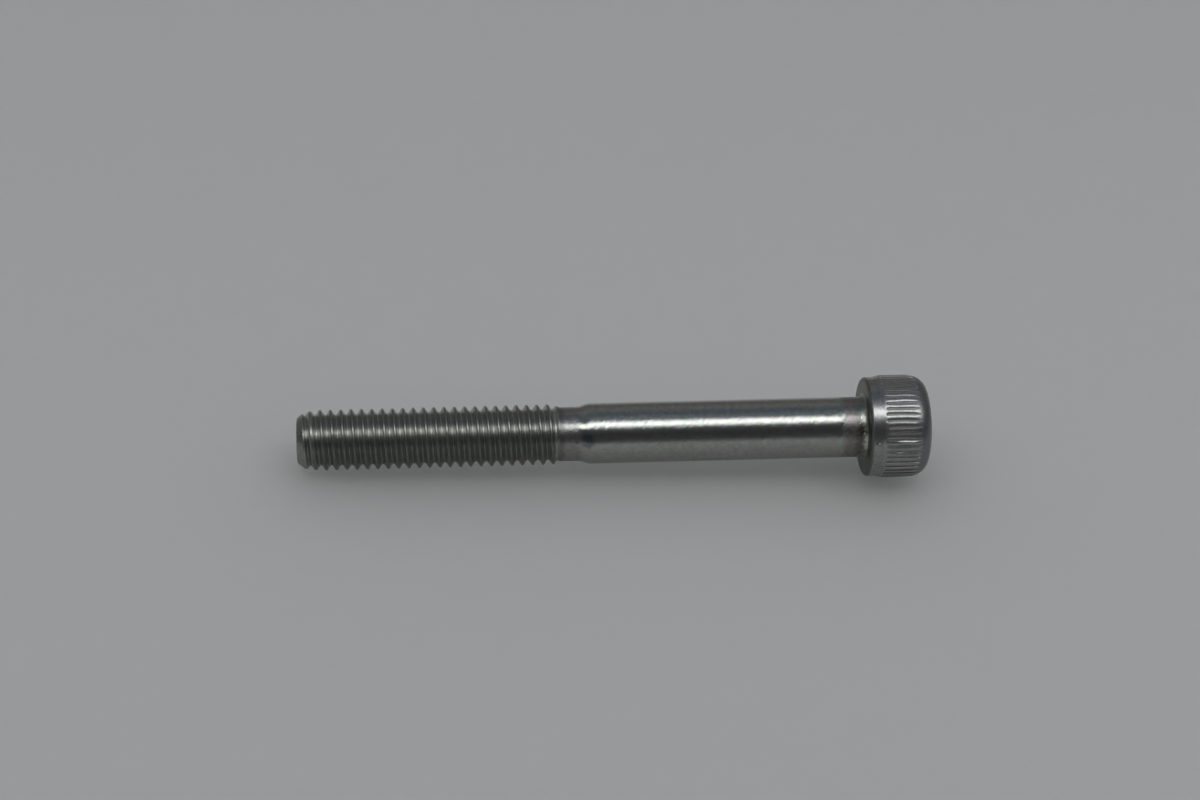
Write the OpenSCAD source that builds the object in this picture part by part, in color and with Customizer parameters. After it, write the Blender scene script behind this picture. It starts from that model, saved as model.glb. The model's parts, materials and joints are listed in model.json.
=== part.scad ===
// Hex socket head cap screw with a straight-knurled round head and a part-length thread.
// One cold-forged piece: tip chamfer, threaded length, rolling neck, full-size shank, head, hex socket.
// It lies at rest on its side, touching the ground at the knurled band and near the tip.
// Tip towards -X, head towards +X, ground at z = 0. Sizes in millimetres.

/* [Thread and shank] */
// Outside diameter of the threaded length, over the crests
thread_d = 5.9; // [5.8:0.05:6]
// Length from the tip to where the last thread turn starts to run out
thread_length = 24.9; // [20:0.1:40]
// Diameter of the short neck left by thread rolling
neck_d = 5.25; // [5.1:0.05:5.6]
// Diameter of the plain shank
shank_d = 5.88; // [5.8:0.02:6]
// Length from the tip to the underside of the head
length = 55.15; // [45:0.05:80]

/* [Tip] */
// Diameter of the flat at the tip
tip_flat_d = 4.4; // [4:0.1:4.8]
// Diameter at the end of the steep tip chamfer
tip_chamfer_d = 5.24; // [5:0.02:5.4]
// Length of the steep tip chamfer
tip_chamfer_length = 0.5; // [0.3:0.05:0.8]
// Length from the tip to the first full-size thread crest
lead_in_length = 2.2; // [1.5:0.1:3]

/* [Head] */
// Diameter over the knurl ridges
head_d = 10; // [9.8:0.05:10.2]
// Height of the head
head_height = 6; // [5.8:0.05:6.4]
// Diameter of the smooth ring under the knurl
ring_d = 9.68; // [9.6:0.02:9.72]
// Height on the head where the smooth ring ends
ring_height = 0.9; // [0.8:0.05:1.2]
// Height on the head where the knurl reaches its full diameter
knurl_start = 1.6; // [1.5:0.05:2]
// Rounding radius of the ring's lower edge
ring_edge_round = 0.33; // [0.2:0.01:0.5]
// Rounding radius of the head's outer edge
head_edge_round = 1.4; // [1.2:0.05:2]
// Diameter of the flat on the head's end
head_flat_d = 7.6; // [7.4:0.1:7.8]
// Fillet radius between the shank and the head
underhead_fillet = 0.4; // [0.2:0.05:0.5]

/* [Knurl] */
// Number of straight knurl grooves around the head
knurl_count = 50; // [30:1:60]
// Depth of each knurl groove
knurl_depth = 0.12; // [0.08:0.01:0.14]
// Width of each knurl groove at the ridge tops
knurl_width = 0.25; // [0.25:0.01:0.3]
// Width of each knurl groove at its flat bottom
knurl_floor_width = 0.2; // [0.15:0.01:0.22]

/* [Socket] */
// Hexagon size across flats
socket_across_flats = 5; // [4.9:0.05:5.1]
// Depth of the straight hexagon walls
socket_depth = 3.1; // [2.8:0.1:3.4]
// Depth of the cone below the hexagon walls
socket_cone_depth = 0.7; // [0.4:0.1:1]
// Diameter of the countersink at the socket mouth
socket_mouth_d = 6; // [5.9:0.05:6.2]

/* [Hidden] */
$fn = 96;

steel = [0.72, 0.73, 0.72];

thread_r = thread_d / 2;
neck_r = neck_d / 2;
shank_r = shank_d / 2;
head_r = head_d / 2;
ring_r = ring_d / 2;

// the thread's last turn falls to the neck, then the neck swells to the shank in two equal arcs
run_out_length = 0.5;
neck_length = 1.5;
swell_length = 1.6;
neck_start = thread_length + run_out_length;
swell_start = neck_start + neck_length;
swell_mid = swell_start + swell_length / 2;
swell_end = swell_start + swell_length;
swell_rise = shank_r - neck_r;
swell_round = (pow(swell_length, 2) + pow(swell_rise, 2)) / (4 * swell_rise);

// the head's outer edge: an arc that starts on the knurled band and ends on the end flat
round_centre_r = head_r - head_edge_round;
flat_run = head_flat_d / 2 - round_centre_r;
round_centre_h = length + head_height - sqrt(pow(head_edge_round, 2) - pow(flat_run, 2));
head_end = length + head_height;

socket_corner_d = socket_across_flats / cos(30);
socket_mouth_depth = (socket_mouth_d / 2 - socket_across_flats / 2) * tan(30);
socket_cone_d = socket_across_flats;
reach = 1;

// knurl: groove bottoms, and the groove walls carried on a little way above the ridge tops
groove_r = head_r - knurl_depth;
clear_height = 0.1;
clear_r = head_r + clear_height;
clear_width = knurl_width + (knurl_width - knurl_floor_width) * clear_height / knurl_depth;
bottom_angle = asin(knurl_floor_width / 2 / groove_r);
clear_angle = asin(clear_width / 2 / clear_r);
groove_corners = [
    [-clear_angle, clear_r],
    [-bottom_angle, groove_r],
    [bottom_angle, groove_r],
    [clear_angle, clear_r]
];

// resting pose: the band's first full ridges and the first full thread crest both touch the ground
ridge_edge_angle = asin(knurl_width / head_d);
head_rest_r = head_r * cos(ridge_edge_angle);
head_rest_at = length + knurl_start;
rest_angle = atan((head_rest_r - thread_r) / (head_rest_at - lead_in_length));
tip_axis_height = thread_r * cos(rest_angle) - lead_in_length * sin(rest_angle);
x_low = -tip_flat_d / 2 * sin(rest_angle);
x_high = head_end * cos(rest_angle) + head_flat_d / 2 * sin(rest_angle);

// slice of the profile between two heights, from the centre line out to a radius
module slice(from, to, r) {
    translate([0, from]) square([r, to - from]);
}

// section of the stem: tip, threaded length, neck, swell and shank with its fillet
module stem_profile() {
    polygon([
        [0, 0],
        [tip_flat_d / 2, 0],
        [tip_chamfer_d / 2, tip_chamfer_length],
        [thread_r, lead_in_length],
        [thread_r, thread_length],
        [neck_r, neck_start],
        [0, neck_start]
    ]);
    slice(neck_start, swell_start, neck_r);
    difference() {
        slice(swell_start, swell_mid, shank_r);
        translate([neck_r + swell_round, swell_start]) circle(swell_round);
    }
    intersection() {
        slice(swell_mid, swell_end, shank_r);
        translate([shank_r - swell_round, swell_end]) circle(swell_round);
    }
    slice(swell_end, length, shank_r);
    difference() {
        slice(length - underhead_fillet, length, shank_r + underhead_fillet);
        translate([shank_r + underhead_fillet, length - underhead_fillet]) circle(underhead_fillet);
    }
}

// section of the head: bearing face, rounded ring, ramp, band and rounded outer edge
module head_profile() {
    slice(length, length + ring_edge_round, ring_r - ring_edge_round);
    intersection() {
        slice(length, length + ring_edge_round, ring_r);
        translate([ring_r - ring_edge_round, length + ring_edge_round]) circle(ring_edge_round);
    }
    polygon([
        [0, length + ring_edge_round],
        [ring_r, length + ring_edge_round],
        [ring_r, length + ring_height],
        [head_r, length + knurl_start],
        [head_r, round_centre_h],
        [0, round_centre_h]
    ]);
    slice(round_centre_h, head_end, round_centre_r);
    intersection() {
        slice(round_centre_h, head_end, head_r);
        translate([round_centre_r, round_centre_h]) circle(head_edge_round);
    }
}

// everything between the knurl ridges: a ring with a toothed hole, running off the rounded outer edge
module knurl_grooves() {
    step = 360 / knurl_count;
    translate([0, 0, length + ring_height])
        linear_extrude(head_height)
            difference() {
                circle(head_r + reach);
                polygon([
                    for (i = [0 : knurl_count - 1], corner = groove_corners)
                        corner[1] * [cos(i * step + corner[0]), sin(i * step + corner[0])]
                ]);
            }
}

// hexagon socket with a countersunk mouth and a cone at the bottom
module socket() {
    translate([0, 0, head_end - socket_depth])
        cylinder(h = socket_depth + reach, d = socket_corner_d, $fn = 6);
    translate([0, 0, head_end - socket_depth - socket_cone_depth])
        cylinder(h = socket_cone_depth, d1 = 0, d2 = socket_cone_d);
    translate([0, 0, head_end - socket_mouth_depth])
        cylinder(h = socket_mouth_depth, d1 = socket_across_flats, d2 = socket_mouth_d);
}

module screw_upright() {
    difference() {
        rotate(180 / knurl_count)
            rotate_extrude() {
                stem_profile();
                head_profile();
            }
        knurl_grooves();
        socket();
    }
}

module cap_screw() {
    color(steel)
        translate([-(x_low + x_high) / 2, 0, tip_axis_height])
            rotate([0, 90 - rest_angle, 0])
                screw_upright();
}

cap_screw();
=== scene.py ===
import json
import math
import bmesh
import bpy
import numpy as np
from mathutils import Matrix, Vector


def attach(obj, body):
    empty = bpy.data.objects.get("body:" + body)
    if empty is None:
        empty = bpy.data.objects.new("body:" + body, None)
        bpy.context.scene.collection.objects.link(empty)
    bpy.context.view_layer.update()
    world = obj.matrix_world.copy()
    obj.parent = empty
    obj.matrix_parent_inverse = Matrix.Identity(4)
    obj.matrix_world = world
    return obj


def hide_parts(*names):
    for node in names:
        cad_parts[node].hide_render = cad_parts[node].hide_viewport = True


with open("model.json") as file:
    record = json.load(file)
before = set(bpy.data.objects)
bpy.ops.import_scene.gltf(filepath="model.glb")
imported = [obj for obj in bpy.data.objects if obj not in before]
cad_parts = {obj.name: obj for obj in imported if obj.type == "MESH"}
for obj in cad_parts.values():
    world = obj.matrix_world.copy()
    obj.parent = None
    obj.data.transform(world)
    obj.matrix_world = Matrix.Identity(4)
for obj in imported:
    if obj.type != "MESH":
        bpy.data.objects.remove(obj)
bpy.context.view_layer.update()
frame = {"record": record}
print("frame loaded")

mm = 0.001
mounts = {m["name"]: m for m in frame["record"]["mounts"]}
axisDirection = Vector(mounts["hex_socket"]["axis"]).normalized()  # from the tip to the head
mouthCentre = Vector(mounts["hex_socket"]["pos_m"])

# sizes of the screw in millimetres, as in the solid; "at" values are distances from the tip
screw = {
    "endFlatRadius": 2.2,
    "threadPitch": 1.0,
    "threadRadius": 2.95,
    "rootRadius": 2.375,
    "crestRound": 0.10,
    "rootRound": 0.44,
    "crestDrop": 0.014,         # the crests are cut this much lower, as room for their unevenness
    "threadUneven": (0.010, 0.008),  # how far the thread's surface wanders, coarse and fine
    "threadPhase": 0.865,       # where the first crest meets the underside
    "veeRadius": 3.10,          # where the flanks would meet above the crest
    "chamferAt": 0.65,
    "chamferRadius": 2.70,
    "leadInBend": (1.3, 2.83),  # where the lead-in flattens: distance from the tip, and radius
    "leadInAt": 2.3,            # first crest of full height
    "leadInClear": (0.5, 3.3),  # then the lead-in rises clear of the crests: how far on, and radius
    "leadInRound": 0.04,
    "runOutFrom": 24.5,
    "runOutTo": 25.7,
    "neckRadius": 2.625,
    "neckAt": 25.9,
    "neckUneven": 0.018,
    "neckFadeIn": 0.3,          # the neck's unevenness comes in over this length
    "neckFadeOut": (0.6, 0.4),  # and goes out from before the swell's end to past it
    "swellAt": 26.9,
    "swellTo": 28.5,
    "shankRadius": 2.94,
    "fineFrom": 53.5,           # from here on the rings have the head's many points
    "filletRise": 0.4,
    "filletRun": 0.65,
    "bearingAt": 55.15,
    "faceMiddle": 4.1,          # radius of the ring of points between fillet and edge
    "ringRadius": 4.84,
    "ringEdgeRound": 0.33,
    "ringTo": 56.05,
    "headRadius": 5.0,
    "knurlFrom": 56.75,
    "knurlCount": 50,
    "knurlDepth": 0.10,
    "knurlTurn": 2.5,           # degrees from the underside to the middle of the first groove
    "knurlGroove": 0.36,        # share of the pitch taken by a groove
    "knurlFloor": 0.78,         # share of the groove taken by its flat bottom
    "knurlCrown": (0.020, 0.033),  # how much a ridge falls to its two edges, before and after its middle
    "knurlWobble": 0.0014,      # how far a ridge wanders sideways, in turns
    "ridgeUneven": 0.012,       # how much lower a ridge may lie
    "grooveUneven": 0.12,       # by what share a groove's depth varies
    "grooveLead": 0.06,         # grooves start this far before knurlFrom
    "grooveWander": 0.07,       # how far their starts lie before and behind one another
    "grooveFade": 0.07,         # how far each side of its start a groove takes to reach its depth
    "maskEdge": (1.1, 0.9),     # the groove mask fades in between these shares of half a groove
    "maskDepth": 0.03,          # and is full where the groove is this deep
    "headRound": 1.4,           # the outer edge is an ellipse: this is its reach inwards, and then along
    "headRoundRun": 1.85,
    "outerDrop": 0.006,         # the ellipse lies this far inside the solid's round edge
    "outerBlend": 0.05,         # how softly the ridges meet the ellipse
    "headFlatRadius": 3.8,
    "headTop": 61.15,
    "endMiddle": 3.4,           # radius of the ring of points on the flat end
    "sharpAfter": 0.5,          # edges are sharp from this far past the bearing face
    "sharpAngle": 26,
    "socketFlats": 5.0,
    "socketDepth": 3.1,
    "socketCone": 0.7,
    "socketInset": 0.01,
    "mouthRadius": 3.0,
    "mouthRim": 0.03,
}

# small marks: each has its distance from the tip, its angle from the underside, its reach along and around
# in millimetres, how far it shifts around for each millimetre along, and how deep it goes (a rim stands up);
# the bevels are ridges with a worn edge
marks = {
    "pit": {"at": 54.80, "angle": 241.0, "reach": (0.17, 0.20), "lean": 0, "depth": 0.13},
    "rim": {"at": 54.92, "angle": 235.5, "reach": (0.10, 0.06), "lean": 0.3, "depth": -0.04},
    "nick": {"at": 55.85, "angle": 251.5, "reach": (0.20, 0.11), "lean": -0.7, "depth": -0.11},
    "bevel": {"at": 58.75, "angle": 248.6, "reach": (1.4, 0.075), "lean": 0, "depth": 0.075},
    "lowerBevel": {"at": 58.85, "angle": 263.0, "reach": (1.2, 0.075), "lean": 0, "depth": 0.09},
}

# small unevenness: where its cells begin, the length they cover, cells around and along, and the seed
ripples = {
    "threadCoarse": (0, 26, 7, 40, 11),
    "threadFine": (0, 26, 31, 90, 12),
    "neck": (25, 5, 14, 7, 31),
    "ridges": (0, 62, 50, 70, 21),
    "grooveStarts": (0, 62, 50, 1, 22),
    "grooves": (0, 62, 50, 60, 23),
    "sideways": (0, 62, 50, 70, 24),
}

# how finely each stretch is divided
steps = {
    "stemColumns": 100,
    "headColumns": 600,         # 12 for each knurl tooth, and 100 for each side of the hexagon
    # rows over one pitch of the thread, closer together at crest and root, where the section bends
    "threadRows": (-.06, -.03, 0, .03, .06, .10, .20, .30, .37, .43, .5, .57, .63, .70, .80, .90),
    # the tip's rings: radii on the flat end and its edge, and how far along the chamfer every ring stands
    "tipRadii": (0, 0.9, 1.7, 2.1, 2.165),
    "tipShares": (0, 0, 0, 0, .02, .07, .14, .22, .32, .42, .52, .62, .72, .82, .91, 1),
    "neckRows": 8,
    "swellRows": 7,             # for each of the swell's two arcs
    "shankRows": 24,
    "shankEndRows": 3,
    "shankEndStep": 0.25,
    "filletRows": 15,
    "ringEdgeRows": 6,
    "ringRows": 7,
    "ringEnd": 0.1,             # the smooth ring's last row stands this far before ringTo
    "rampStart": 0.05,          # the ramp's first row stands this far before ringTo
    "rampEnd": 0.15,            # and its last this far past knurlFrom
    "rampRows": 9,
    "knurlRows": 9,
    "outerRows": 18,
    "ridgeColumns": (0.26, 0.34, 0.42, 0.5),  # share of a pitch, up to the ridge's middle
    "teethIn": 0.2,             # the columns sit on the teeth from this far before knurlFrom
    "teethOut": (0.8, 0.2),     # and leave them between these distances from the end
    "mouthShares": (0.0, 0.5, 0.93),
    "wallShares": (0.03, 0.3, 0.7, 0.97, 1.0),
    "coneShares": (0.05, 0.5, 1.0),
    "mergeDistance": 1e-7,      # metres
}


def ripple(name, turn, along):
    # smooth unevenness from -1 to 1: random heights on a grid of cells that wraps round but not along;
    # between the grid points the height follows an s-curve in both directions
    start, length, cellsAround, cellsAlong, seed = ripples[name]
    heights = np.random.default_rng(seed).uniform(-1, 1, (cellsAround, cellsAlong + 2))
    x = (turn % 1) * cellsAround
    y = np.clip((along - start) / length, 0, 1) * cellsAlong
    i, j = np.floor(x).astype(int), np.floor(y).astype(int)
    fx, fy = x - i, y - j
    fx, fy = fx * fx * (3 - 2 * fx), fy * fy * (3 - 2 * fy)
    i, k = i % cellsAround, (i + 1) % cellsAround
    low = heights[i, j] * (1 - fx) + heights[k, j] * fx
    high = heights[i, j + 1] * (1 - fx) + heights[k, j + 1] * fx
    return low * (1 - fy) + high * fy


def easeStep(low, high, x):
    # 0 below low, 1 above high, an s-curve between; with low above high it falls instead of rising
    t = np.clip((x - low) / (high - low), 0, 1)
    return t * t * (3 - 2 * t)


def softMin(a, b, width):
    # the smaller of a and b, with the corner rounded over the width
    h = np.maximum(width - np.abs(a - b), 0) / width
    return np.minimum(a, b) - h * h * width / 4


def softMax(a, b, width):
    # the larger of a and b, rounded in the same way
    return -softMin(-a, -b, width)


def evenTurns(columns):
    # equal turns from the underside, from 0 up to just below 1
    return np.arange(columns) / columns


def threadRadiusAt(s, turn, p=screw):
    # a 60 degree V wave that climbs one pitch a turn, cut off round at crest and root,
    # fading into the neck at one end and held under a cone at the tip
    pitch = p["threadPitch"]
    wave = (s - pitch * turn - p["threadPhase"]) / pitch
    offCrest = np.abs(wave - np.round(wave)) * pitch
    coarse, fine = p["threadUneven"]
    uneven = coarse * ripple("threadCoarse", turn, s) + fine * ripple("threadFine", turn, s)
    vee = p["veeRadius"] - offCrest * math.sqrt(3) + uneven
    r = softMin(vee, p["threadRadius"] - p["crestDrop"] + uneven, p["crestRound"])
    r = softMax(r, p["rootRadius"], p["rootRound"])
    fade = easeStep(p["runOutFrom"], p["runOutTo"], s)
    r = p["neckRadius"] + (r - p["neckRadius"]) * (1 - fade)
    bendAt, bendRadius = p["leadInBend"]
    clearAfter, clearRadius = p["leadInClear"]
    cone = np.interp(s, [0, p["chamferAt"], bendAt, p["leadInAt"], p["leadInAt"] + clearAfter],
                     [p["endFlatRadius"], p["chamferRadius"], bendRadius, p["threadRadius"], clearRadius])
    return softMin(r, cone, p["leadInRound"])


def markDepth(s, r, turn, names):
    # how far the named marks go into the surface: a bell shape around each mark's middle
    deep = 0 * turn
    for mark in (marks[name] for name in names):
        along = (s - mark["at"]) / mark["reach"][0]
        around = ((turn - mark["angle"] / 360 + 0.5) % 1 - 0.5) * 2 * np.pi * r
        around = (around - mark["lean"] * (s - mark["at"])) / mark["reach"][1]
        deep = deep + mark["depth"] * np.exp(-(along * along + around * around))
    return deep


def ringGrid(s, r, turn):
    # rows of rings: row i stands s[i] along the axis with radius r[i], at the given turns from the underside
    angle = 2 * np.pi * turn
    return np.stack([s + 0 * angle, r * np.cos(angle), r * np.sin(angle)], -1)


def gridFaces(rows, columns, offset=0, jump=0):
    # four-sided faces between neighbouring rows and columns; the last column joins the first, jump rows on
    i, k = np.meshgrid(np.arange(rows - 1), np.arange(columns), indexing="ij")
    nextK = (k + 1) % columns
    step = np.where(k == columns - 1, jump, 0)
    a, b = i * columns + k, np.minimum(i + step, rows - 1) * columns + nextK
    c, d = np.minimum(i + 1 + step, rows - 1) * columns + nextK, (i + 1) * columns + k
    return (np.stack([a, b, c, d], -1) + offset).reshape(-1, 4)


def threadGrid(p=screw):
    # rows follow the helix: row i climbs one pitch in a turn, and both ends are held at a plain circle
    low, high = p["chamferAt"], p["neckAt"]
    pitch = p["threadPitch"]
    wave = np.array(steps["threadRows"])
    firstTurns = np.arange(-2, math.ceil(high) + 2)
    s = (firstTurns[:, None] + wave[None, :]).ravel() * pitch + p["threadPhase"]
    firstRow = np.searchsorted(s, low - pitch, side="right") - 1
    lastRow = np.searchsorted(s, high)
    s = s[firstRow:lastRow + 1]
    turn = evenTurns(steps["stemColumns"])
    along = np.clip(s[:, None] + pitch * turn[None, :], low, high)
    points = ringGrid(along, threadRadiusAt(along, turn), turn)
    return points, gridFaces(len(s), len(turn), 0, len(wave))


def tipRows(p=screw):
    # the flat end with a slightly rounded edge, then the chamfer up to the first thread rows
    turn = evenTurns(steps["stemColumns"])
    flat = np.array(steps["tipRadii"])
    s = np.array(steps["tipShares"])[:, None] * p["chamferAt"]
    chamfer = threadRadiusAt(s[len(flat):], turn[None, :])
    return s, np.concatenate([np.repeat(flat[:, None], len(turn), 1), chamfer])


def shankRows(p=screw):
    # neck, then two equal arcs up to the shank, and the shank
    rise = p["shankRadius"] - p["neckRadius"]
    run = p["swellTo"] - p["swellAt"]
    bend = (run * run + rise * rise) / (4 * rise)
    t = np.linspace(0, run / 2, steps["swellRows"])
    arc = bend - np.sqrt(bend * bend - t * t)
    neck = np.linspace(p["neckAt"], p["swellAt"], steps["neckRows"])[:-1]
    shank = np.linspace(p["swellTo"], p["fineFrom"], steps["shankRows"])[1:]
    s = np.concatenate([neck, p["swellAt"] + t[:-1], p["swellTo"] - t[::-1], shank])[:, None]
    r = np.concatenate([np.full(len(neck), p["neckRadius"]), p["neckRadius"] + arc[:-1],
                        p["shankRadius"] - arc[::-1], np.full(len(shank), p["shankRadius"])])[:, None]
    before, past = p["neckFadeOut"]
    rolled = (easeStep(p["neckAt"], p["neckAt"] + p["neckFadeIn"], s)
              * easeStep(p["swellTo"] + past, p["swellTo"] - before, s))
    turn = evenTurns(steps["stemColumns"])[None, :]
    return s, r + p["neckUneven"] * rolled * ripple("neck", turn, s)


def hexRadius(turn, flats):
    # distance from the centre to the wall of a hexagon with a corner at the underside
    a = (turn * 6) % 1 - 0.5
    return flats / 2 / np.cos(a * np.pi / 3)


def toothTurns(p=screw):
    # twelve columns a tooth, closer together where a ridge turns into a groove; t runs from groove to groove
    even = evenTurns(steps["headColumns"])
    t = (even * p["knurlCount"]) % 1
    half = p["knurlGroove"] / 2
    places = [0, half * p["knurlFloor"], half, *steps["ridgeColumns"]]
    places = places + [1 - q for q in places[-2::-1]]
    crowded = np.interp(t, np.arange(len(places)) / (len(places) - 1), places)
    return even, even + (crowded - t) / p["knurlCount"] + p["knurlTurn"] / 360


def toothPlace(turn, p=screw):
    # from -0.5 to 0.5 over a ridge with its middle at 0; the grooves lie round -0.5 and 0.5
    t = (turn - p["knurlTurn"] / 360) * p["knurlCount"]
    return t - np.floor(t) - 0.5


def fromGroove(place, p=screw):
    # 0 in the middle of a groove, 1 at its edge
    return (0.5 - np.abs(place)) / (p["knurlGroove"] / 2)


def toothDip(turn, p=screw):
    # how deep the surface lies below a ridge's middle: two unlike arcs, steep walls and a flat bottom
    place = toothPlace(turn)
    fall = np.where(place < 0, p["knurlCrown"][0], p["knurlCrown"][1])
    crown = fall * (place / (0.5 - p["knurlGroove"] / 2)) ** 2
    wall = np.clip((1 - fromGroove(place)) / (1 - p["knurlFloor"]), 0, 1)
    return np.where(fromGroove(place) > 1, crown, fall + (p["knurlDepth"] - fall) * wall)


def headRow(s, r, turn, groove=0.0):
    # one ring of the head: distance along, radius, turn and groove mask of each of its points
    return np.stack(np.broadcast_arrays(s, r, turn, groove))


def faceRows(turn, p=screw):
    # end of the shank, fillet (a quarter of an ellipse), bearing face, its rounded edge and smooth ring
    face, edge, rise, run = p["bearingAt"], p["ringEdgeRound"], p["filletRise"], p["filletRun"]
    filletFrom = face - run
    shankEnd = np.linspace(p["fineFrom"] + steps["shankEndStep"], filletFrom, steps["shankEndRows"])
    rows = [headRow(s, p["shankRadius"], turn) for s in shankEnd]
    for a in np.linspace(0, np.pi / 2, steps["filletRows"])[1:]:
        s, r = filletFrom + run * math.sin(a), p["shankRadius"] + rise * (1 - math.cos(a))
        deep = markDepth(s, r, turn, ("pit", "rim"))
        rows.append(headRow(s + deep * math.sin(a), r - deep * math.cos(a), turn))
    rows.append(headRow(face, p["faceMiddle"], turn))
    for a in np.linspace(0, np.pi / 2, steps["ringEdgeRows"]):
        s, r = face + edge * (1 - math.cos(a)), p["ringRadius"] - edge + edge * math.sin(a)
        rows.append(headRow(s, r, turn))
    for s in np.linspace(face + edge, p["ringTo"] - steps["ringEnd"], steps["ringRows"])[1:]:
        rows.append(headRow(s, p["ringRadius"] - markDepth(s, p["ringRadius"], turn, ("nick",)), turn))
    return rows


def knurlRow(s, even, toothed, centreRadius, outerFrom, p=screw):
    # the ridges' height less the grooves and the worn edges, held under the ellipse of the outer edge;
    # the columns move onto the teeth over the ramp and leave them over the outer edge
    outFrom, outTo = steps["teethOut"]
    teeth = (easeStep(p["ringTo"], p["knurlFrom"] - steps["teethIn"], s)
             * (1 - easeStep(p["headTop"] - outFrom, p["headTop"] - outTo, s)))
    turn = even + (toothed - even) * teeth
    ramp = easeStep(p["ringTo"], p["knurlFrom"], s)
    ridge = p["ringRadius"] + (p["headRadius"] - p["ringRadius"]) * ramp
    ridge = ridge - p["ridgeUneven"] * (0.5 + 0.5 * ripple("ridges", turn, s)) * ramp
    start = p["knurlFrom"] - p["grooveLead"] + p["grooveWander"] * ripple("grooveStarts", turn, 0 * turn)
    dip = toothDip(turn) * easeStep(-p["grooveFade"], p["grooveFade"], s - start)
    deep = dip * (1 + p["grooveUneven"] * ripple("grooves", turn, s))
    worn = markDepth(s, p["headRadius"], turn, ("bevel", "lowerBevel"))
    knurled = ridge - np.minimum(deep + worn, np.maximum(deep, p["knurlDepth"]))
    up = max(0.0, s - outerFrom)
    arch = math.sqrt(max(1 - (up / p["headRoundRun"]) ** 2, 0))
    outer = centreRadius + p["headRound"] * arch - p["outerDrop"]
    surface = softMin(knurled, outer, p["outerBlend"]) if up > 0 else knurled
    # 1 in the grooves, for the material: their roughness and their painted shade
    groove = easeStep(*p["maskEdge"], fromGroove(toothPlace(turn)))
    groove = groove * easeStep(0.0, p["maskDepth"], np.minimum(ridge, outer) - surface)
    wobble = p["knurlWobble"] * ripple("sideways", turn, s) * teeth
    return headRow(s, surface, turn + wobble, groove)


def knurlRows(even, toothed, p=screw):
    # ramp up from the smooth ring, knurled band and outer edge
    centreRadius = p["headRadius"] - p["headRound"]
    endAngle = math.acos((p["headFlatRadius"] - centreRadius) / p["headRound"])
    outerFrom = p["headTop"] - p["headRoundRun"] * math.sin(endAngle)
    rampTo = p["knurlFrom"] + steps["rampEnd"]
    band = np.concatenate([
        np.linspace(p["ringTo"] - steps["rampStart"], rampTo, steps["rampRows"]),
        np.linspace(rampTo, outerFrom, steps["knurlRows"])[1:],
        outerFrom + p["headRoundRun"] * np.sin(np.linspace(0, endAngle, steps["outerRows"])[1:]),
    ])
    return [knurlRow(s, even, toothed, centreRadius, outerFrom) for s in band]


def socketRows(turn, p=screw):
    # flat end, countersunk mouth at 30 degrees, hexagon walls, floor and the cone below it
    top, mouth, slope = p["headTop"], p["mouthRadius"], math.tan(math.pi / 6)
    rows = [headRow(top, p["endMiddle"], turn), headRow(top, mouth + p["mouthRim"], turn)]
    wall = hexRadius(turn, p["socketFlats"])
    for t in steps["mouthShares"]:
        r = mouth + (wall - mouth) * t
        rows.append(headRow(top - (mouth - r) * slope, r, turn))
    lip = top - (mouth - wall) * slope
    floor = top - p["socketDepth"]
    for t in steps["wallShares"]:
        rows.append(headRow(lip + (floor - lip) * t, wall - p["socketInset"], turn))
    floorRadius = p["socketFlats"] / 2 - 2 * p["socketInset"]
    rows.append(headRow(floor, floorRadius, turn))
    for t in steps["coneShares"]:
        rows.append(headRow(floor - p["socketCone"] * t, floorRadius * (1 - t), turn))
    return rows


def headRows():
    # distance along, radius, turn and groove mask of every point from the end of the shank to the cone
    even, toothed = toothTurns()
    return np.stack(faceRows(even) + knurlRows(even, toothed) + socketRows(even), 1)


def fanFaces(coarse, fine, coarseStart, fineStart):
    # triangles between a ring of few points and a ring of many, each few-point fan centred on its point
    ratio = fine // coarse
    k = np.arange(fine)
    near = ((k + ratio // 2) // ratio) % coarse
    many = np.stack([near + coarseStart, (k + 1) % fine + fineStart, k + fineStart], -1)
    j = np.arange(coarse)
    between = j * ratio + ratio // 2
    few = np.stack([j + coarseStart, (j + 1) % coarse + coarseStart, between + fineStart], -1)
    return np.concatenate([many[:, ::-1], few])


def toFrame(local):
    # from (along, down, back) in millimetres to the frame: along the axis, square down from it, along +Y
    down = Vector((axisDirection.z, 0, -axisDirection.x))
    basis = np.array([axisDirection, down, (0, 1, 0)])
    tip = np.array(mouthCentre) - np.array(axisDirection) * screw["headTop"] * mm
    return tip + (local * mm) @ basis


def sharpenHead(mesh, p=screw):
    # the head's corners stay crisp; the thread's are rounded in its section already
    mesh.set_sharp_from_angle(angle=math.radians(p["sharpAngle"]))
    corners = np.empty(len(mesh.vertices) * 3)
    mesh.vertices.foreach_get("co", corners)
    along = (corners.reshape(-1, 3) - np.array(mouthCentre)) @ np.array(axisDirection) / mm + p["headTop"]
    ends = np.empty(len(mesh.edges) * 2, dtype=np.int32)
    mesh.edges.foreach_get("vertices", ends)
    sharp = np.empty(len(mesh.edges), dtype=bool)
    mesh.attributes["sharp_edge"].data.foreach_get("value", sharp)
    sharp &= along[ends.reshape(-1, 2)].min(1) > p["bearingAt"] + p["sharpAfter"]
    mesh.attributes["sharp_edge"].data.foreach_set("value", sharp)


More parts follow.
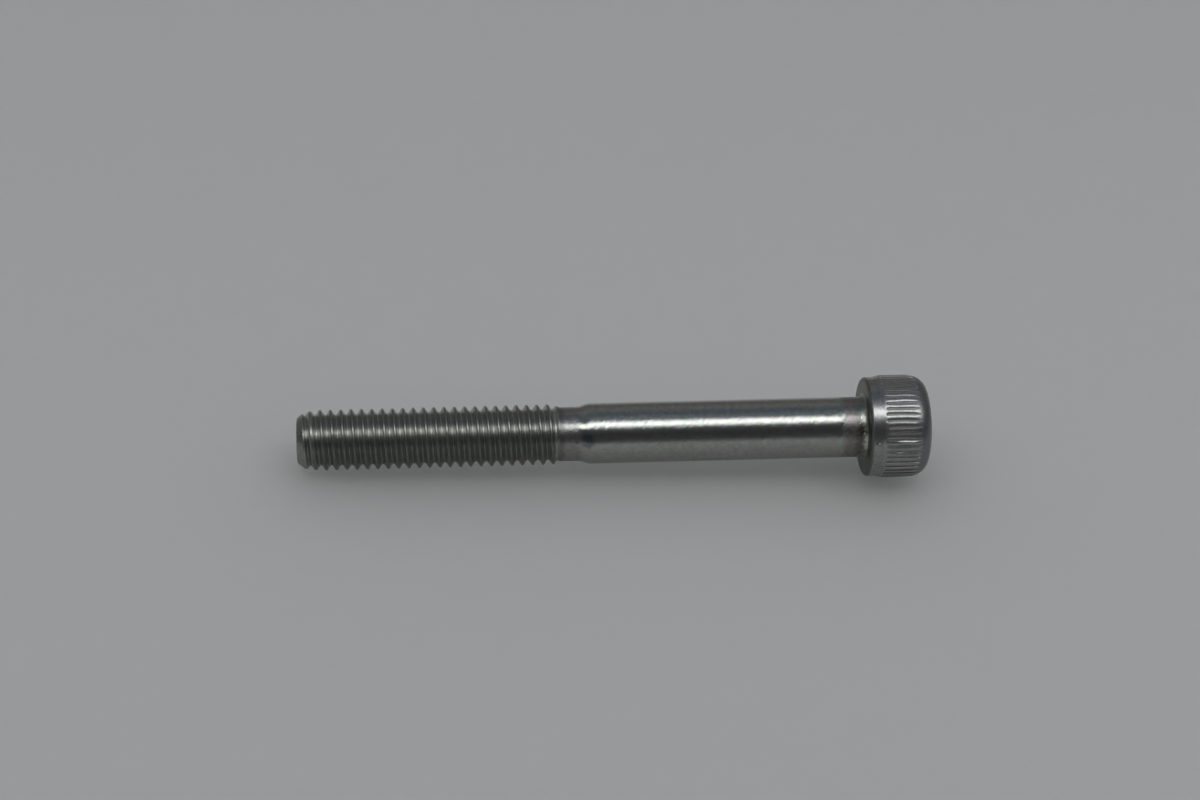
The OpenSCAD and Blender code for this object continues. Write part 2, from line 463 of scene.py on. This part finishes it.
def makeScrew():
    # thread, tip, shank and head are grids of points; fans join the stem's few columns to the head's many
    stemColumns, headColumns = steps["stemColumns"], steps["headColumns"]
    threadPoints, threadFaces = threadGrid()
    points, faces = [threadPoints.reshape(-1, 3)], [threadFaces]
    count = len(points[0])
    for s, r in (tipRows(), shankRows()):
        points.append(ringGrid(s, r, evenTurns(stemColumns)).reshape(-1, 3))
        faces.append(gridFaces(len(s), stemColumns, count))
        count += len(points[-1])
    s, r, turn, groove = headRows()
    points.append(ringGrid(s, r, turn).reshape(-1, 3))
    faces.append(gridFaces(len(s), headColumns, count))
    fans = fanFaces(stemColumns, headColumns, count - stemColumns, count)
    mesh = bpy.data.meshes.new("screw")
    mesh.from_pydata(toFrame(np.concatenate(points)).tolist(), [],
                     np.concatenate(faces).tolist() + fans.tolist())
    mask = mesh.attributes.new("groove", "FLOAT", "POINT")
    mask.data.foreach_set("value", np.concatenate([np.zeros(count), groove.ravel()]))
    work = bmesh.new()
    work.from_mesh(mesh)
    bmesh.ops.remove_doubles(work, verts=work.verts, dist=steps["mergeDistance"])
    bmesh.ops.recalc_face_normals(work, faces=work.faces)
    openEdges = sum(not e.is_manifold for e in work.edges)
    volume = work.calc_volume() / mm ** 3
    print("screw: faces", len(work.faces), "open edges", openEdges, "volume mm3", volume)
    work.to_mesh(mesh)
    work.free()
    mesh.shade_smooth()
    sharpenHead(mesh)
    obj = bpy.data.objects.new("screw", mesh)
    bpy.context.scene.collection.objects.link(obj)
    return obj


screwPiece = makeScrew()
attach(screwPiece, "root")
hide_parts("cap_screw")
print("screw made")


class Nodes:
    # short hand for building a node tree: each call adds a node, sets or links its inputs and returns it
    def __init__(self, tree):
        self.tree = tree

    def add(self, kind, inputs=None, **settings):
        node = self.tree.nodes.new(kind)
        for name, value in settings.items():
            setattr(node, name, value)
        for key, value in (inputs or {}).items():
            self.put(value, node.inputs[key])
        return node

    def put(self, value, socket):
        if isinstance(value, bpy.types.Node):
            value = value.outputs[0]
        if isinstance(value, bpy.types.NodeSocket):
            self.tree.links.new(value, socket)
        else:
            socket.default_value = value

    def group(self, name, inputs):
        return self.add("ShaderNodeGroup", inputs, node_tree=groups[name])

    def math(self, operation, a, b=0.0, clamp=False):
        return self.add("ShaderNodeMath", {0: a, 1: b}, operation=operation, use_clamp=clamp)

    def ease(self, value, low, high, fromValue=0.0, toValue=1.0):
        return self.add("ShaderNodeMapRange", {"Value": value, "From Min": low, "From Max": high,
                                               "To Min": fromValue, "To Max": toValue},
                        interpolation_type="SMOOTHSTEP")

    def mix(self, factor, a, b):
        # colours
        node = self.add("ShaderNodeMix", data_type="RGBA")
        self.put(factor, node.inputs[0])
        self.put(a, node.inputs[6])
        self.put(b, node.inputs[7])
        return node.outputs[2]

    def blend(self, factor, a, b):
        # numbers
        return self.add("ShaderNodeMix", {0: factor, 2: a, 3: b}, data_type="FLOAT")


def newGroup(name, inputs, outputs):
    group = bpy.data.node_groups.new(name, "ShaderNodeTree")
    for kind, names in (("INPUT", inputs), ("OUTPUT", outputs)):
        for label, socketType, *value in names:
            socket = group.interface.new_socket(label, in_out=kind, socket_type="NodeSocket" + socketType)
            if value:
                socket.default_value = value[0]
    nodes = Nodes(group)
    return group, nodes, nodes.add("NodeGroupInput"), nodes.add("NodeGroupOutput")


def alongScrewGroup():
    # place on the screw in millimetres, distance from the tip and distance from the axis
    group, n, given, out = newGroup("alongScrew", [("Object Place", "Vector")],
                                    [("Place", "Vector"), ("Along", "Float"), ("Radius", "Float")])
    tip = mouthCentre - axisDirection * screw["headTop"] * mm
    slant = -math.atan2(axisDirection.z, axisDirection.x)
    place = n.add("ShaderNodeMapping", {"Vector": given.outputs[0], "Location": tip,
                                        "Rotation": (0, slant, 0), "Scale": (mm, mm, mm)},
                  vector_type="TEXTURE")
    parts = n.add("ShaderNodeSeparateXYZ", {0: place})
    y, z = parts.outputs[1], parts.outputs[2]
    radius = n.math("SQRT", n.math("ADD", n.math("MULTIPLY", y, y), n.math("MULTIPLY", z, z)))
    n.put(place, out.inputs["Place"])
    n.put(parts.outputs[0], out.inputs["Along"])
    n.put(radius, out.inputs["Radius"])
    return group


def slantedStreaksGroup():
    # noise drawn out along helices: the place is turned about the axis as it goes along, then flattened
    group, n, given, out = newGroup(
        "slantedStreaks",
        [("Place", "Vector"), ("Along", "Float"), ("Twist", "Float", 0.28), ("Fineness", "Float", 3.0),
         ("Stretch", "Float", 0.2)],
        [("Height", "Float")])
    angle = n.math("MULTIPLY", given.outputs["Along"], given.outputs["Twist"])
    turned = n.add("ShaderNodeVectorRotate",
                   {"Vector": given.outputs["Place"], "Axis": (1, 0, 0), "Angle": angle})
    squeeze = n.add("ShaderNodeCombineXYZ", {0: given.outputs["Stretch"], 1: 1.0, 2: 1.0})
    flat = n.add("ShaderNodeVectorMath", {0: turned, 1: squeeze}, operation="MULTIPLY")
    noise = n.add("ShaderNodeTexNoise", {"Vector": flat, "Scale": given.outputs["Fineness"],
                                         "Detail": 3.0, "Roughness": 0.6})
    n.put(noise, out.inputs[0])
    return group


def patchesGroup():
    # soft cloudy patches: 0 outside, 1 inside
    group, n, given, out = newGroup(
        "patches",
        [("Place", "Vector"), ("Fineness", "Float", 1.0), ("Share", "Float", 0.5),
         ("Softness", "Float", 0.2)],
        [("Mask", "Float")])
    noise = n.add("ShaderNodeTexNoise", {"Vector": given.outputs["Place"],
                                         "Scale": given.outputs["Fineness"],
                                         "Detail": 4.0, "Roughness": 0.6})
    middle = n.math("SUBTRACT", 1.0, given.outputs["Share"])
    low = n.math("SUBTRACT", middle, given.outputs["Softness"])
    high = n.math("ADD", middle, given.outputs["Softness"])
    n.put(n.ease(noise, low, high), out.inputs[0])
    return group


def stretchGroup():
    # 1 between two distances from the tip, fading over an edge width
    group, n, given, out = newGroup(
        "stretch", [("Along", "Float"), ("From", "Float"), ("To", "Float"), ("Edge", "Float", 0.2)],
        [("Mask", "Float")])
    along, edge = given.outputs["Along"], given.outputs["Edge"]

    def pastEdge(where):
        return n.ease(along, n.math("SUBTRACT", where, edge), n.math("ADD", where, edge))

    rise, fall = pastEdge(given.outputs["From"]), pastEdge(given.outputs["To"])
    n.put(n.math("SUBTRACT", rise, fall, clamp=True), out.inputs[0])
    return group


def spotGroup():
    # 1 at a centre, fading to 0 at about its reach in each direction; noise moves the edge in and out
    group, n, given, out = newGroup(
        "spot",
        [("Place", "Vector"), ("Centre", "Vector"), ("Reach", "Vector", (1, 1, 1)),
         ("Ragged", "Float", 0.5)],
        [("Mask", "Float")])
    away = n.add("ShaderNodeVectorMath", {0: given.outputs["Place"], 1: given.outputs["Centre"]},
                 operation="SUBTRACT")
    away = n.add("ShaderNodeVectorMath", {0: away, 1: given.outputs["Reach"]}, operation="DIVIDE")
    far = n.add("ShaderNodeVectorMath", {0: away}, operation="LENGTH").outputs["Value"]
    noise = n.add("ShaderNodeTexNoise", {"Vector": given.outputs["Place"], "Scale": 2.4, "Detail": 3.0,
                                         "Roughness": 0.65})
    strength = n.math("MULTIPLY", given.outputs["Ragged"], 4.0)
    moved = n.math("MULTIPLY", n.math("SUBTRACT", noise, 0.5), strength)
    full, gone = 0.6, 1.25  # in reaches from the centre
    n.put(n.ease(n.math("ADD", far, moved), gone, full), out.inputs[0])
    return group


groups = {
    "alongScrew": alongScrewGroup(),
    "slantedStreaks": slantedStreaksGroup(),
    "patches": patchesGroup(),
    "stretch": stretchGroup(),
    "spot": spotGroup(),
}

# the zinc: colours of each stretch, how rough it is there, and the patterns over it
zincLook = {
    "bright": (0.339, 0.339, 0.331, 1),
    "greenish": (0.321, 0.348, 0.308, 1),
    "underHead": (0.218, 0.218, 0.208, 1),
    "pinkish": (0.262, 0.225, 0.225, 1),
    "darkPatchTone": (0.150, 0.145, 0.136, 1),
    "pit": (0.13, 0.13, 0.13, 1),
    # painted dark reflection below the highlight on the swell
    "swellPaintedReflection": (0.170, 0.180, 0.190, 1),
    "fillet": (0.20, 0.21, 0.19, 1),
    # greenish light painted on the fillet: a painted highlight above and a painted reflection below
    "filletPaintedLight": (0.44, 0.48, 0.41, 1),
    "neck": (0.272, 0.272, 0.261, 1),
    "runOut": (0.185, 0.190, 0.180, 1),
    "tip": (0.270, 0.278, 0.262, 1),
    # the thread's tones: flanks painted lighter than crest and root for the light they catch; the shaded
    # copies are painted shade for the underside
    "crest": (0.216, 0.223, 0.209, 1),
    "crestShaded": (0.160, 0.164, 0.152, 1),
    "flank": (0.372, 0.384, 0.360, 1),
    "flankShaded": (0.292, 0.300, 0.280, 1),
    "root": (0.276, 0.285, 0.265, 1),
    "rootShaded": (0.210, 0.217, 0.200, 1),
    "face": (0.162, 0.169, 0.151, 1),
    "ring": (0.292, 0.292, 0.292, 1),
    "ridge": (0.310, 0.310, 0.310, 1),
    # the grooves' tones: painted shade in them, deeper on the underside
    "groove": (0.27, 0.27, 0.26, 1),
    "grooveShadedUnderside": (0.20, 0.20, 0.195, 1),
    "outerEdge": (0.200, 0.207, 0.211, 1),
    "endFace": (0.272, 0.275, 0.272, 1),
    # painted shade inside the socket
    "hole": (0.175, 0.177, 0.175, 1),
    "threadShadeHeights": (0.5, 1.7),  # heights above the axis between which the thread's painted shade on the underside turns to its lit tones on top
    # heights above the axis between which the grooves' painted shade on the underside turns to the upper
    # tone
    "grooveShadeHeights": (-0.8, 0.4),
    "rootToFlank": (2.42, 2.54),   # radii between which one tone turns to the next
    "flankToCrest": (2.74, 2.88),
    "mottle": (0.86, 1.12),     # darkest and lightest of the small patches
    "mottleNoise": (0.3, 0.7),  # the noise values that give those two
    "filletHighlightShare": 0.5,
    "shankRoughness": 0.16,
    "threadRoughness": 0.32,
    "neckRoughness": 0.29,
    "runOutRoughness": 0.34,
    "underHeadRoughness": 0.35,
    "filletRoughness": 0.33,
    "faceRoughness": 0.44,
    "ringRoughness": 0.27,
    "ridgeRoughness": 0.32,
    "grooveRoughness": 0.6,
    "outerEdgeRoughness": 0.40,
    "pitRoughness": 0.7,
    "streakRoughness": 0.12,    # how much rougher a streak's ridges are than its hollows
    "streakDepth": 0.021,       # millimetres
    "fineStreakShare": 0.45,
    "dentDepth": 0.025,
    "dentShare": (0.25, 0.8),   # share of that depth everywhere, and what neck and head add to it
    "streakWander": 1.4,        # how far the streaks move the ends of the dull stretch under the head
}

# where each finish lies along the screw: from, to, and half the width over which it fades
stretches = {
    "thread": (-9.0, 25.4, 0.3),
    "tip": (-9.0, 0.7, 0.1),
    "runOut": (25.15, 25.75, 0.2),
    "neck": (25.3, 27.3, 0.5),
    "smooth": (28.0, 52.6, 0.6),
    "underHead": (52.9, 54.55, 0.35),
    "fillet": (54.55, 55.12, 0.12),
    "face": (55.12, 55.43, 0.05),
    "ring": (55.40, 56.4, 0.08),
    "ridge": (56.4, 60.2, 0.20),
    "outerEdge": (60.0, 70.0, 0.25),
}

# parts of the head's end: from and to of each fade, along the screw or out from its axis
endPlaces = {
    "floorFrom": (56.5, 56.9),
    "mouthRadius": (3.3, 3.05),
    "flatFrom": (60.75, 61.1),
    "holeTo": (60.86, 60.5),
}

# spots: distance from the tip, angle from the underside, radius, reach along, across and up, raggedness
spots = {
    # a darker patch low on the shank next to the fillet
    "darkPatch": (54.42, 268, 2.9, (0.42, 2.2, 2.0), 0.8),
    # painted highlight and painted reflection on the fillet
    "filletPaintedHighlight": (54.9, 213, 3.0, (0.7, 0.95, 0.95), 0.3),
    "filletPaintedReflection": (54.85, 262, 3.1, (0.55, 0.9, 0.9), 0.3),
    # painted dark reflection on the swell
    "swellPaintedReflection": (28.0, 246, 2.9, (0.65, 0.75, 0.75), 0.3),
    "pit": (54.84, 241.5, 3.08, (0.21, 0.27, 0.27), 0.1),
}

# how fine and how strong the clouds, streaks and noises are, for each millimetre
patterns = {
    "cloud": {"Fineness": 0.9, "Share": 0.45, "Softness": 0.12},
    "fineCloud": {"Fineness": 2.6, "Share": 0.45, "Softness": 0.15},
    "streaks": {"Fineness": 5.5, "Twist": 0.30, "Stretch": 0.22},
    "fineStreaks": {"Fineness": 7.0, "Twist": 0.40, "Stretch": 0.25},
    "mottle": {"Scale": 2.6, "Detail": 5.0, "Roughness": 0.7},
    "dents": {"Scale": 2.2, "Detail": 3.0, "Roughness": 0.6},
}


def onScrew(at, angle, radius):
    # the place of a point given by its distance from the tip, angle from the underside and radius
    return (at, radius * math.sin(math.radians(angle)), -radius * math.cos(math.radians(angle)))


def zincMasks(n):
    # the place on the screw, and a mask for every cloud, streak, stretch and spot
    placed = n.group("alongScrew", {"Object Place": n.add("ShaderNodeTexCoord").outputs["Object"]})
    place, along, radius = placed.outputs
    m = {"place": place, "radius": radius}
    for name in ("cloud", "fineCloud"):
        m[name] = n.group("patches", {"Place": place, **patterns[name]})
    for name in ("streaks", "fineStreaks"):
        m[name] = n.group("slantedStreaks", {"Place": place, "Along": along, **patterns[name]})
    wander = n.math("MULTIPLY", n.math("SUBTRACT", m["streaks"], 0.5), zincLook["streakWander"])
    wandering = n.math("ADD", along, wander)
    for name, (start, stop, edge) in stretches.items():
        where = wandering if name == "underHead" else along
        m[name] = n.group("stretch", {"Along": where, "From": start, "To": stop, "Edge": edge})
    # the socket lies within the radius of its mouth; below the mouth's slope its inside is painted darker,
    # as shade
    inMouth = n.math("MULTIPLY", n.ease(along, *endPlaces["floorFrom"]),
                     n.ease(radius, *endPlaces["mouthRadius"]))
    m["endFace"] = n.math("MAXIMUM", n.ease(along, *endPlaces["flatFrom"]), inMouth)
    m["hole"] = n.math("MULTIPLY", inMouth, n.ease(along, *endPlaces["holeTo"]))
    m["groove"] = n.add("ShaderNodeAttribute", attribute_name="groove").outputs["Fac"]
    for name, (at, angle, spotRadius, reach, ragged) in spots.items():
        m[name] = n.group("spot", {"Place": place, "Centre": onScrew(at, angle, spotRadius),
                                   "Reach": reach, "Ragged": ragged})
    m["aboveAxis"] = n.add("ShaderNodeSeparateXYZ", {0: place}).outputs[2]
    return m


def zincColour(n, m, look=zincLook):
    # the plain stem first, with its clouds and spots; the fillet's light spots are a painted highlight and a
    # painted reflection, and the swell's dark spot a painted dark reflection
    filletPaintedHighlight = n.math("MULTIPLY", m["filletPaintedHighlight"], look["filletHighlightShare"])
    filletLit = n.math("MAXIMUM", filletPaintedHighlight, m["filletPaintedReflection"])
    stem = n.mix(m["cloud"], look["bright"], look["greenish"])
    stem = n.mix(m["underHead"], stem, n.mix(m["fineCloud"], look["underHead"], look["pinkish"]))
    stem = n.mix(m["neck"], stem, look["neck"])
    stem = n.mix(m["fillet"], stem, n.mix(filletLit, look["fillet"], look["filletPaintedLight"]))
    # a darker patch low on the shank next to the fillet
    stem = n.mix(m["darkPatch"], stem, look["darkPatchTone"])
    # painted dark reflection under the highlight on the swell
    stem = n.mix(m["swellPaintedReflection"], stem, look["swellPaintedReflection"])
    # the thread: the flanks are painted lighter than crest and root, standing in for the light they catch,
    # and the underside is painted darker as shade
    litSide = n.ease(m["aboveAxis"], *look["threadShadeHeights"])
    flank = n.mix(litSide, look["flankShaded"], look["flank"])
    crest = n.mix(litSide, look["crestShaded"], look["crest"])
    root = n.mix(litSide, look["rootShaded"], look["root"])
    thread = n.mix(n.ease(m["radius"], *look["rootToFlank"]), root, flank)
    thread = n.mix(n.ease(m["radius"], *look["flankToCrest"]), thread, crest)
    colour = n.mix(m["thread"], stem, n.mix(m["tip"], thread, look["tip"]))
    # the grooves are painted a little darker than the ridges as shade, and darker still on the underside
    groove = n.mix(n.ease(m["aboveAxis"], *look["grooveShadeHeights"]), look["grooveShadedUnderside"], look["groove"])
    for name in ("runOut", "face", "ring", "ridge", "groove", "outerEdge", "endFace", "hole", "pit"):
        colour = n.mix(m[name], colour, groove if name == "groove" else look[name])
    # every stretch is a little lighter and darker in small patches
    mottle = n.add("ShaderNodeTexNoise", {"Vector": m["place"], **patterns["mottle"]})
    shade = n.ease(mottle, *look["mottleNoise"], *look["mottle"])
    return n.add("ShaderNodeVectorMath", {0: colour, 1: shade}, operation="MULTIPLY")


def zincRoughness(n, m, look=zincLook):
    # the shank's, covered by each stretch's own, and a little unevenness from the streaks
    rough = look["shankRoughness"]
    for name in ("thread", "neck", "runOut", "underHead", "fillet", "face", "ring", "ridge", "groove",
                 "outerEdge", "pit"):
        rough = n.blend(m[name], rough, look[name + "Roughness"])
    uneven = n.math("MULTIPLY", n.math("SUBTRACT", m["streaks"], 0.5), look["streakRoughness"])
    return n.math("ADD", rough, uneven)


def zincBump(n, m, look=zincLook):
    # streaks lie on the shank only, finer under the head; dents everywhere, deeper at neck and head
    dents = n.add("ShaderNodeTexNoise", {"Vector": m["place"], **patterns["dents"]})
    fineShare = n.math("MULTIPLY", m["underHead"], look["fineStreakShare"])
    fine = n.math("MULTIPLY", m["fineStreaks"], fineShare)
    streaks = n.math("ADD", n.math("MULTIPLY", m["streaks"], m["smooth"]), fine)
    everywhere, added = look["dentShare"]
    uneven = n.math("MAXIMUM", m["neck"], n.math("MAXIMUM", m["underHead"], m["fillet"]))
    dented = n.math("MULTIPLY", dents, n.math("ADD", everywhere, n.math("MULTIPLY", uneven, added)))
    height = n.math("ADD", n.math("MULTIPLY", streaks, look["streakDepth"]),
                    n.math("MULTIPLY", dented, look["dentDepth"]))
    return n.add("ShaderNodeBump", {"Height": height, "Distance": mm, "Strength": 1.0})


def zincPlate():
    material = bpy.data.materials.new("zincPlate")
    material.use_nodes = True
    n = Nodes(material.node_tree)
    shader = material.node_tree.nodes["Principled BSDF"]
    shader.inputs["Metallic"].default_value = 1
    m = zincMasks(n)
    n.put(zincColour(n, m), shader.inputs["Base Color"])
    n.put(zincRoughness(n, m), shader.inputs["Roughness"])
    n.put(zincBump(n, m), shader.inputs["Normal"])
    return material


screwPiece.data.materials.append(zincPlate())
print("materials made")


stageLook = {
    "floorSize": 1.6,
    "floorColour": (0.55, 0.55, 0.545, 1),
    "floorRoughness": 0.9,
    "floorDepth": 0.045,        # how far light spreads inside the floor, which keeps the shadow soft
    # brightness of the surroundings from the horizon (0) to straight up (1)
    "nearSide": ((0.0, (0.100, 0.101, 0.104)), (0.19, (0.090, 0.091, 0.096)), (0.32, (0.073, 0.073, 0.077)),
                 (0.56, (0.060, 0.060, 0.064)), (0.75, (0.080, 0.082, 0.090)), (1.0, (0.28, 0.31, 0.34))),
    "farSide": ((0.0, (0.186, 0.180, 0.172)), (0.45, (0.190, 0.186, 0.180)), (0.63, (0.270, 0.265, 0.265)),
                (0.76, (0.200, 0.220, 0.235)), (0.87, (0.142, 0.172, 0.206)), (0.95, (0.160, 0.190, 0.230)),
                (1.0, (0.28, 0.31, 0.34))),
    "sideBlend": (-0.05, 0.08),  # near side turns to far side between these
    "lampSize": (1.2, 0.19),
    "lampPower": 2.4,
    "lampElevation": 71.5,
    "lampDistance": 0.6,
}


def makeFloor(look=stageLook):
    # one square of matt paper at ground level
    half = look["floorSize"] / 2
    mesh = bpy.data.meshes.new("floor")
    corners = [(-half, -half, 0), (half, -half, 0), (half, half, 0), (-half, half, 0)]
    mesh.from_pydata(corners, [], [(0, 1, 2, 3)])
    floor = bpy.data.objects.new("floor", mesh)
    bpy.context.scene.collection.objects.link(floor)
    paper = bpy.data.materials.new("floorPaper")
    paper.use_nodes = True
    shader = paper.node_tree.nodes["Principled BSDF"]
    shader.inputs["Base Color"].default_value = look["floorColour"]
    shader.inputs["Roughness"].default_value = look["floorRoughness"]
    shader.inputs["Specular IOR Level"].default_value = 0.0
    shader.inputs["Subsurface Weight"].default_value = 1.0
    shader.inputs["Subsurface Scale"].default_value = look["floorDepth"]
    shader.inputs["Subsurface Radius"].default_value = (1, 1, 1)
    mesh.materials.append(paper)


def makeSurroundings(look=stageLook):
    # dim surroundings: darkest on the near side, cooler high up on the far side
    world = bpy.data.worlds.new("studio")
    world.use_nodes = True
    n = Nodes(world.node_tree)
    direction = n.add("ShaderNodeSeparateXYZ", {0: n.add("ShaderNodeTexCoord").outputs["Generated"]})
    far = n.ease(direction.outputs[1], *look["sideBlend"])

    def risingColours(stops):
        ramp = n.add("ShaderNodeValToRGB", {0: direction.outputs[2]})
        elements = ramp.color_ramp.elements
        for position, _ in stops[1:-1]:
            elements.new(position)
        for element, (position, colour) in zip(elements, stops):
            element.position = position
            element.color = (*colour, 1)
        return ramp

    colour = n.mix(far, risingColours(look["nearSide"]), risingColours(look["farSide"]))
    n.put(colour, world.node_tree.nodes["Background"].inputs["Color"])
    bpy.context.scene.world = world


def makeLamp(look=stageLook):
    # a long soft box above the near side, facing the screw
    data = bpy.data.lights.new("softBox", "AREA")
    data.shape = "RECTANGLE"
    data.size, data.size_y = look["lampSize"]
    data.energy = look["lampPower"]
    lamp = bpy.data.objects.new("softBox", data)
    angle = math.radians(look["lampElevation"])
    away = Vector((0, -math.cos(angle), math.sin(angle)))
    lamp.location = away * look["lampDistance"]
    lamp.rotation_euler = away.to_track_quat("Z", "Y").to_euler()
    bpy.context.scene.collection.objects.link(lamp)


makeFloor()
makeSurroundings()
makeLamp()
print("stage made")


cameraPlace = {
    "aim": (-0.009349, 0.002072, 0.006402),
    "azimuth": -4.963,
    "elevation": 37.99,
    "roll": 3.353,
    "distance": 0.233273,
    "lens": 72.041,
    "sensorWidth": 36,
    "shift": 0.06934,           # the middle of the view lies beside the lens axis
    "nearest": 0.01,
}


def makeCamera(place=cameraPlace):
    # stands back from the aim along its own axis, turned by azimuth, elevation and roll
    data = bpy.data.cameras.new("camera")
    data.lens = place["lens"]
    data.sensor_width = place["sensorWidth"]
    data.shift_x = place["shift"]
    data.clip_start = place["nearest"]
    camera = bpy.data.objects.new("camera", data)
    turn = (Matrix.Rotation(math.radians(place["azimuth"]), 4, "Z")
            @ Matrix.Rotation(math.radians(90 - place["elevation"]), 4, "X")
            @ Matrix.Rotation(math.radians(place["roll"]), 4, "Z"))
    back = turn @ Vector((0, 0, place["distance"]))
    camera.matrix_world = Matrix.Translation(Vector(place["aim"]) + back) @ turn
    bpy.context.scene.collection.objects.link(camera)
    bpy.context.scene.camera = camera


makeCamera()
bpy.context.scene.view_settings.view_transform = "Standard"
print("camera made")
